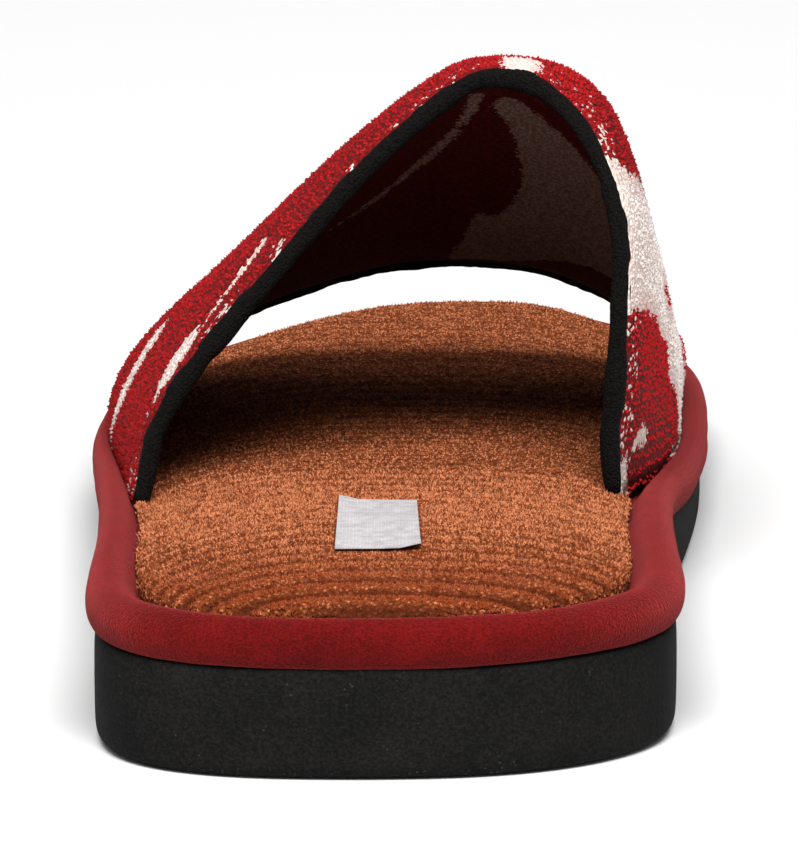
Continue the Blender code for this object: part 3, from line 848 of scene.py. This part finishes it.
vamp_outward = outwards(vamp_places)
vamp_known = np.concatenate([vamp_places, vamp_outward, flat_over[..., None]], axis=2)
knob_parts = []
for column in range(columns):
    lengths = flat_along[:, column]
    stops = np.arange(KNOB_FROM_EDGE, lengths[-1] - KNOB_FROM_EDGE, KNOB_STEP)
    stops = np.clip(stops + chance.uniform(-KNOB_JITTER, KNOB_JITTER, len(stops)), 0, lengths[-1])
    last = len(lengths) - 1
    at = np.clip(np.interp(stops, lengths, np.arange(len(lengths))), 0, last - SHORT_OF_LAST)
    before = at.astype(int)
    part = (at - before)[:, None]
    known = vamp_known[:, column]
    knob_parts.append(np.hstack([known[before] * (1 - part) + known[before + 1] * part, stops[:, None]]))
knob_parts = np.concatenate(knob_parts)
knob_roots, knob_outward = knob_parts[:, :3], knob_parts[:, 3:6]
knob_over, knob_along = knob_parts[:, 6], knob_parts[:, 7]
count = len(knob_parts)
knob_depth = painted(knob_over, knob_along, outer_patches) + chance.normal(0, KNOB_RAGGED, count)
knob_cream = (knob_depth > 0) | (chance.random(count) < strewn_share(knob_over, knob_along, STREWN))
knob_size = np.where(knob_cream, KNOB_CREAM_SHARE, 1.0) * chance.uniform(*KNOB_SIZE_SPREAD, count)
forward = np.cross(knob_outward, (0.0, 0.0, 1.0)) + NEVER_ZERO
forward /= np.linalg.norm(forward, axis=1, keepdims=True)
sideways = np.cross(knob_outward, forward)
knob_roots = knob_roots + chance.uniform(-KNOB_ASIDE, KNOB_ASIDE, (count, 1)) * sideways
turns = chance.random(count)[:, None] * math.pi + np.arange(KNOB_SIDES) * 2 * math.pi / KNOB_SIDES
ring = np.cos(turns)[..., None] * forward[:, None] + np.sin(turns)[..., None] * sideways[:, None]
knobs_each = np.empty((count, KNOB_SIDES + 1, 3))
knobs_each[:, :KNOB_SIDES] = (knob_roots - KNOB_ROOT * knob_outward)[:, None] + KNOB_REACH * ring
knobs_each[:, KNOB_SIDES] = knob_roots + KNOB_HEIGHT * knob_size[:, None] * knob_outward
knobs_each[:, KNOB_SIDES] += chance.normal(0, KNOB_LEAN, (count, 3))
chenille = joined_mesh("vamp_chenille", knobs_each, KNOB_FACES)
keep_values(chenille, "tip", np.tile((0.0, 0.0, 0.0, 0.0, 1.0), (count, 1)))
deep_share = np.clip(PALE_AT_EDGE + (1 - PALE_AT_EDGE) * knob_depth / PALE_DEPTH, PALE_AT_EDGE, 1)
knob_paleness = knob_cream * deep_share * chance.uniform(*PALE_SPREAD, count)
knob_tone = BRIGHT_SPREAD * chance.random(count) + BRIGHT_ADDED * (knob_over > BRIGHT_FROM_OVER)
knob_tone = np.clip(knob_tone, 0, 1)
keep_values(chenille, "cream", np.repeat(knob_paleness[:, None], KNOB_SIDES + 1, axis=1))
keep_values(chenille, "tone", np.repeat(knob_tone[:, None], KNOB_SIDES + 1, axis=1))
smooth_shaded(chenille)
tree, shader, place = finish_on(chenille, "floral_chenille")
# Each knob is painted in shade towards its root, dark red or shaded cream, and has its own colour towards
# its top
knob_top = spread(tree, kept(tree, "tip"), 0.0, 0.7)
tone = kept(tree, "tone")
red_knob = mix(tree, knob_top, JACQUARD_ROOT_SHADE_RED, mix(tree, tone, JACQUARD_RED, JACQUARD_BRIGHT))
cream_knob = mix(tree, knob_top, JACQUARD_SHADE, mix(tree, tone, JACQUARD_CREAM, JACQUARD_WHITE))
yarn = mix(tree, kept(tree, "cream"), red_knob, cream_knob)
fuzz = noise(tree, place, KNOB_FUZZ, detail=2.0)
dress(tree, shader, yarn, fuzz, KNOB_FUZZ_DEPTH, roughness=0.8, shine=0.12)
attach(chenille, "root")
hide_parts("upper")

# Lining: a like jacquard, flatter than the vamp's face, its colours darkened with painted shade for the
# inside of the vamp. It is stretched over the inside of its foam and glued to it. At both edges the tape
# pinches face, foam and lining together.
LINING_THICKNESS = 0.0008
# Wall from the vamp's face to the lining, in the open panel and at its rims, and how far the pinch reaches
VAMP_WALL = 0.0034
RIM_WALL = 0.0021
PINCH_LENGTH = 0.006
# Share of its width that the tape has, from the lateral (-1) to the medial foot (1)
TAPE_PLACES = (-1.0, -0.8, -0.4, 0.0, 0.15, 0.32, 0.5, 0.65, 1.0)
TAPE_WIDTHS = (1.0, 1.1, 1.15, 1.2, 1.1, 0.62, 0.75, 1.0, 1.1)
LINING_SMOOTHING = 2
# Patches of its pattern, given as those of the vamp
LINING_PATCHES = (
    (CREAM, ((1.5, 25), (2, 23.5), (3, 22), (6, 24.5), (8, 28), (20, 42), (24, 46), (32, 56), (40, 70),
             (40, 82), (28, 84), (20, 86), (11, 93), (1, 95), (3, 79), (4, 70), (7, 71), (9.5, 65), (10, 57),
             (9, 50), (7, 41), (4.5, 33), (1, 27))),
    (CREAM, ((-2.8, 20), (-0.8, 21), (-1, 30), (-3, 41), (-6.5, 49.8), (-13, 60.6), (-21.5, 67.4),
             (-21.2, 66.4), (-13.6, 58.8), (-7, 46.4), (-3.4, 36))),
)
# Lining colours darkened with painted shade for the inside of the vamp; the deep red and the shade colour
# are painted shade between its knobs
LINING_SHADED_RED = (0.077, 0.0045, 0.0037, 1.0)
LINING_SHADED_BRIGHT = (0.112, 0.0066, 0.0052, 1.0)
LINING_GAP_SHADE_RED = (0.042, 0.0022, 0.0018, 1.0)
LINING_SHADED_CREAM = (0.260, 0.180, 0.150, 1.0)
LINING_SHADED_WHITE = (0.320, 0.230, 0.190, 1.0)
LINING_SHADE = (0.150, 0.095, 0.075, 1.0)
LINING_KNOB = 0.0006
LINING_KNOB_DEPTH = 0.0002

lining = vamp_face("vamp_lining", LINING_SMOOTHING)
lining_rows = rows_of(lining)
lining_places = points_of(lining)[0][lining_rows]
lining_columns = lining_rows.shape[1]
lining_run = run(lining_places, 0)
lining_left = lining_run[-1] - lining_run
lining_edge = across_rows(lining_columns, EDGE_PLACES, EDGE_RISES)
lining_fall = across_rows(lining_columns, TOE_FALL_PLACES, TOE_FALLS)
at_collar = np.exp(-((lining_run / PINCH_LENGTH) ** 2))
edge_moved = np.exp(-((lining_run / EDGE_LENGTH) ** 2))
at_toe = np.exp(-((lining_left / PINCH_LENGTH) ** 2))
rim_wall = RIM_WALL * across_rows(lining_columns, TAPE_PLACES, TAPE_WIDTHS)
lining_wall = VAMP_WALL - (VAMP_WALL - rim_wall) * (at_collar + at_toe) - lining_edge * edge_moved
lining_places = lining_places - lining_wall[..., None] * outwards(lining_places)
lining_places[..., 2] -= lining_fall * np.exp(-((lining_left / TOE_FALL_LENGTH) ** 2))
place_rows(lining, lining_rows, lining_places)
lining_over = run(lining_places, 1)
lining_ridge = lining_columns // 2
lining_over = (lining_over - lining_over[:, lining_ridge:lining_ridge + 1]) * MILLIMETRES
lining_along = run(lining_places, 0) * MILLIMETRES
keep_row_values(lining, "cream", lining_rows, painted(lining_over, lining_along, LINING_PATCHES))
keep_row_values(lining, "strewn", lining_rows, np.zeros(lining_rows.shape))
keep_row_values(lining, "along", lining_rows, lining_along)
thicken(lining, LINING_THICKNESS, 1)
smooth_shaded(lining)
shaded_lining_reds = (LINING_SHADED_RED, LINING_SHADED_BRIGHT, LINING_GAP_SHADE_RED)
shaded_lining_creams = (LINING_SHADED_CREAM, LINING_SHADED_WHITE, LINING_SHADE)
jacquard_on(lining, "shaded_floral_lining", shaded_lining_reds, shaded_lining_creams, LINING_KNOB, LINING_KNOB_DEPTH)
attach(lining, "root")
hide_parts("upper")

# Bindings: two lengths of black knit tape, narrow and fuzzy, folded over the collar edge and the toe edge of
# the vamp and sewn through face, foam and lining. The stitches draw them a little uneven.
BINDING_SMOOTHING = 1
# Every second point of the vamp's edge carries a section of the tape
BINDING_STEP = 2
# Section of the folded tape in millimetres: inwards from the vamp's face, and beyond its edge
BINDING_IN = (0.3, -0.2, 0.0, 0.5, 1.3, 2.1, 2.65, 2.9, 2.95, 2.8, 2.5, 2.4, 2.2, 1.2, 0.3, 0.2)
BINDING_BEYOND = (-1.0, 0.1, 0.9, 1.5, 1.75, 1.5, 0.8, -0.6, -2.4, -3.2, -3.0, -1.0, 0.1, 0.3, 0.2, -0.5)
KNIT_BLACK = (0.0010, 0.0008, 0.0007, 1.0)
KNIT_GREY = (0.0050, 0.0042, 0.0038, 1.0)
KNIT_STITCH = 0.00045
KNIT_STITCH_DEPTH = 0.0004
TAPE_WAVE = 0.0080
TAPE_WAVE_DEPTH = 0.0009
TAPE_FUZZ = 0.0016
TAPE_FUZZ_DEPTH = 0.0003
# Solid, row of the vamp that is bound, way beyond its edge, and the tape's flat width and length
TAPES = (("collar_binding", 0, -1, (0.010, 0.161)), ("toe_binding", -1, 1, (0.010, 0.114)))


def folded_tape(name, edge, outward, beyond, widths):
    """A tape folded along an edge: a grid bent round the section, its long sides and its ends closed."""
    bpy.ops.object.select_all(action="DESELECT")
    stations, section = len(edge), len(BINDING_IN)
    bpy.ops.mesh.primitive_grid_add(x_subdivisions=section, y_subdivisions=stations - 1, size=1.0)
    tape = bpy.context.object
    tape.name = name
    inwards = widths[:, None] * np.append(BINDING_IN, BINDING_IN[0]) / MILLIMETRES
    past = np.append(BINDING_BEYOND, BINDING_BEYOND[0]) / MILLIMETRES
    places = edge[:, None] - outward[:, None] * inwards[..., None] + beyond[:, None] * past[:, None]
    move_points(tape, places)
    bpy.ops.object.mode_set(mode="EDIT")
    bpy.ops.mesh.select_all(action="SELECT")
    bpy.ops.mesh.remove_doubles(threshold=MERGE)
    bpy.ops.mesh.fill_holes(sides=0)
    bpy.ops.mesh.normals_make_consistent(inside=False)
    bpy.ops.object.mode_set(mode="OBJECT")
    return tape


vamp_forward = np.gradient(vamp_places, axis=0)
vamp_forward /= np.linalg.norm(vamp_forward, axis=2, keepdims=True)
for node_name, row, sign, tape_flat in TAPES:
    edge = vamp_places[row, ::BINDING_STEP]
    outward = vamp_outward[row, ::BINDING_STEP]
    beyond = sign * vamp_forward[row, ::BINDING_STEP]
    widths = across_rows(len(edge), TAPE_PLACES, TAPE_WIDTHS)
    tape = folded_tape(node_name + "_tape", edge, outward, beyond, widths)
    subdivide(tape, BINDING_SMOOTHING)
    roughen(tape, TAPE_WAVE, TAPE_WAVE_DEPTH)
    roughen(tape, TAPE_FUZZ, TAPE_FUZZ_DEPTH)
    smooth_shaded(tape)
    tree, shader, place = finish_on(tape, node_name + "_knit")
    stitch = knobs(tree, place, KNIT_STITCH)
    fuzz = noise(tree, place, KNIT_STITCH / 2, detail=2.0)
    knit_height = calc(tree, "SUBTRACT", fuzz, stitch)
    knit = mix(tree, spread(tree, knit_height, -0.4, 0.4), KNIT_BLACK, KNIT_GREY)
    dress(tree, shader, knit, knit_height, KNIT_STITCH_DEPTH, roughness=0.9, shine=0.10)
    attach(tape, "root")
    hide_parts(node_name)

# Tag: a small plain tag of white woven ribbon, sewn flat on the sock near the heel and pressed into its
# pile. It narrows a little towards the toe, and two of its corners curl up.
TAG_SHARP = 40
TAG_SHRINK = (0.93, 0.91)
TAG_TAPER = 0.06
TAG_CURL = 0.0008
TAG_CURL_POWER = 3
TAG_PRESSED = 0.0004
TAG_WHITE = (0.52, 0.50, 0.51, 1.0)
TAG_GREY = (0.34, 0.31, 0.32, 1.0)
TAG_THREAD = 0.0005
TAG_THREAD_DEPTH = 0.0002
TAG_WORN_PATCH = 0.0015
# Length of one wave of the wave texture at a scale of 1
WAVE_LENGTH = 0.31

tag = copy_of("label", "woven_tag")
tag_places, tag_normals = points_of(tag)
tag_low, tag_high = tag_places.min(0), tag_places.max(0)
tag_middle = (tag_low + tag_high) / 2
tag_share = 2 * (tag_places - tag_middle) / (tag_high - tag_low)
tag_width_kept = TAG_SHRINK[0] - TAG_TAPER / 2 * tag_share[:, 1]
tag_places[:, 0] = tag_middle[0] + (tag_places[:, 0] - tag_middle[0]) * tag_width_kept
tag_places[:, 1] = tag_middle[1] + (tag_places[:, 1] - tag_middle[1]) * TAG_SHRINK[1]
tag_places[:, 2] -= TAG_PRESSED * (tag_normals[:, 2] > 0)
tag_places[:, 2] += TAG_CURL * np.clip(-tag_share[:, 0] * tag_share[:, 1], 0, 1) ** TAG_CURL_POWER
move_points(tag, tag_places)
bpy.ops.object.shade_smooth_by_angle(angle=math.radians(TAG_SHARP))
tree, shader, place = finish_on(tag, "white_woven")
threads = {"Vector": place, "Scale": WAVE_LENGTH / TAG_THREAD}
over_threads = node(tree, "ShaderNodeTexWave", threads, bands_direction="Y")
under_threads = node(tree, "ShaderNodeTexWave", threads, bands_direction="X")
weave = calc(tree, "MULTIPLY", over_threads.outputs["Fac"], under_threads.outputs["Fac"])
worn = weighed(tree, weave, 0.3, noise(tree, place, TAG_WORN_PATCH, detail=4.0), 0.8)
ribbon = mix(tree, spread(tree, worn, 0.2, 0.7), TAG_GREY, TAG_WHITE)
dress(tree, shader, ribbon, weave, TAG_THREAD_DEPTH, roughness=0.75, shine=0.2)
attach(tag, "root")
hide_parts("label")
